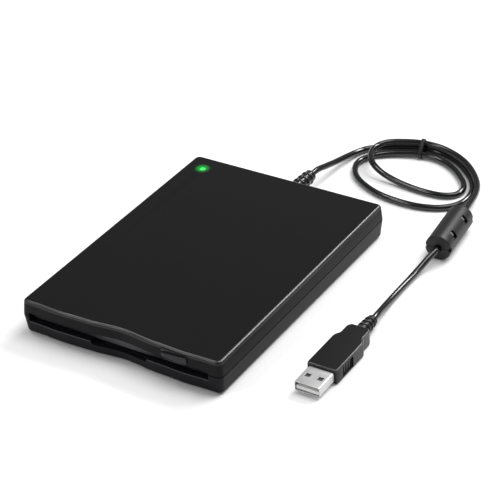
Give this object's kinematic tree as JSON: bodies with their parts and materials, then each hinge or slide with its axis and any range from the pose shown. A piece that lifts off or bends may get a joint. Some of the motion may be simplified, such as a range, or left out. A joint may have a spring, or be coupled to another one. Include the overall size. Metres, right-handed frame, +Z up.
{
  "type": "external floppy disk drive",
  "caption": "Flat slot-loading external floppy disk drive with eject button, dust door, indicator light, working disk mechanism and a corded plug with ferrite choke.",
  "frame": {"origin": "under the middle of the drive's body, on the table that the rubber feet stand on", "axes": "+Z up, -Y out of the disk slot and the eject button, +Y out of the back wall where the cord leaves, +X to the right of someone facing the slot"},
  "size_m": [0.1407, 0.2224, 0.017],
  "materials": {
    "case_black": "satin moulding",
    "base_black": "fine moulded texture",
    "button_black": "satin moulding",
    "rubber": "soft matt",
    "cord_black": "smooth soft jacket",
    "moulded_black": "smooth moulding",
    "choke_grey": "fine moulded texture",
    "ferrite": "sintered, matt",
    "light_green": "clear tinted moulding",
    "steel": "zinc plated sheet",
    "nickel": "bright nickel plate",
    "brass": "bare",
    "board_green": "lacquered laminate",
    "chip_black": "matt moulding",
    "white_plastic": "smooth moulding",
    "grey_plastic": "matt moulding"
  },
  "bodies": {
    "case": {"top_cover": "case_black", "bottom_cover": "base_black", "foot_front_left": "rubber", "foot_front_right": "rubber", "foot_back_left": "rubber", "foot_back_right": "rubber", "strain_relief": "cord_black", "cord_lead": "cord_black", "cord_coil": "cord_black", "cord_tail": "cord_black", "cord_core": "cord_black", "cable_tie": "moulded_black", "plug_body": "moulded_black", "choke_upper": "choke_grey", "choke_lower": "choke_grey", "ferrite_upper": "ferrite", "ferrite_lower": "ferrite", "light_pipe": "light_green", "led": "light_green", "chassis": "steel", "spindle_base": "steel", "stepper_motor": "steel", "cover_screw_left": "nickel", "cover_screw_right": "nickel", "guide_rod_left": "nickel", "guide_rod_right": "nickel", "plug_shell": "nickel", "stator": "brass", "main_board": "board_green", "usb_board": "board_green", "main_chip": "chip_black", "usb_chip": "chip_black", "cord_socket": "white_plastic", "plug_tongue": "white_plastic"},
    "button": {"eject_slide": "steel", "eject_button": "button_black"},
    "holder": {"disk_holder": "nickel"},
    "shutter_lever": {"shutter_lever": "steel"},
    "door": {"dust_door": "case_black"},
    "spindle": {"rotor": "nickel", "spindle_hub": "brass", "drive_pin": "nickel"},
    "carriage": {"head_carriage": "grey_plastic", "lower_head": "chip_black"},
    "head_arm": {"upper_arm": "steel", "upper_head": "chip_black"},
    "lead_screw": {"lead_screw": "nickel"}
  },
  "joints": [
    {"name": "button_slide", "type": "slide", "parent": "case", "child": "button", "axis": [0, -1, 0], "range_m": [0, 0.004]},
    {"name": "holder_drop", "type": "slide", "parent": "case", "child": "holder", "axis": [0, 0, -1], "range_m": [0, 0.002]},
    {"name": "shutter_lever_turn", "type": "hinge", "parent": "holder", "child": "shutter_lever", "pos_m": [0.0223, 0.0177, 0.01215], "axis": [0, 0, 1], "range_deg": [-50, 0], "stiffness_Nm_per_rad": 0.002, "springref_deg": 28.65},
    {"name": "door_swing", "type": "hinge", "parent": "case", "child": "door", "pos_m": [-0.0017, -0.0665, 0.012], "axis": [1, 0, 0], "range_deg": [0, 85], "stiffness_Nm_per_rad": 0.0003, "springref_deg": -28.65},
    {"name": "spindle_spin", "type": "hinge", "parent": "case", "child": "spindle", "pos_m": [-0.0017, -0.0199, 0.0037], "axis": [0, 0, 1], "continuous": true},
    {"name": "carriage_slide", "type": "slide", "parent": "case", "child": "carriage", "axis": [0, -1, 0], "range_m": [0, 0.015]},
    {"name": "head_arm_lower", "type": "hinge", "parent": "carriage", "child": "head_arm", "pos_m": [-0.0017, 0.0526, 0.0127], "axis": [1, 0, 0], "range_deg": [0, 7]},
    {"name": "lead_screw_spin", "type": "hinge", "parent": "case", "child": "lead_screw", "pos_m": [0.0183, 0.052, 0.0079], "axis": [0, 1, 0], "range_deg": [0, 1440]}
  ],
  "couplings": [
    {"joint": "holder_drop", "follows": "button_slide", "ratio": 0.5},
    {"joint": "head_arm_lower", "follows": "button_slide", "rad_per_m": 30.543},
    {"joint": "lead_screw_spin", "follows": "carriage_slide", "rad_per_m": 1675.5}
  ]
}
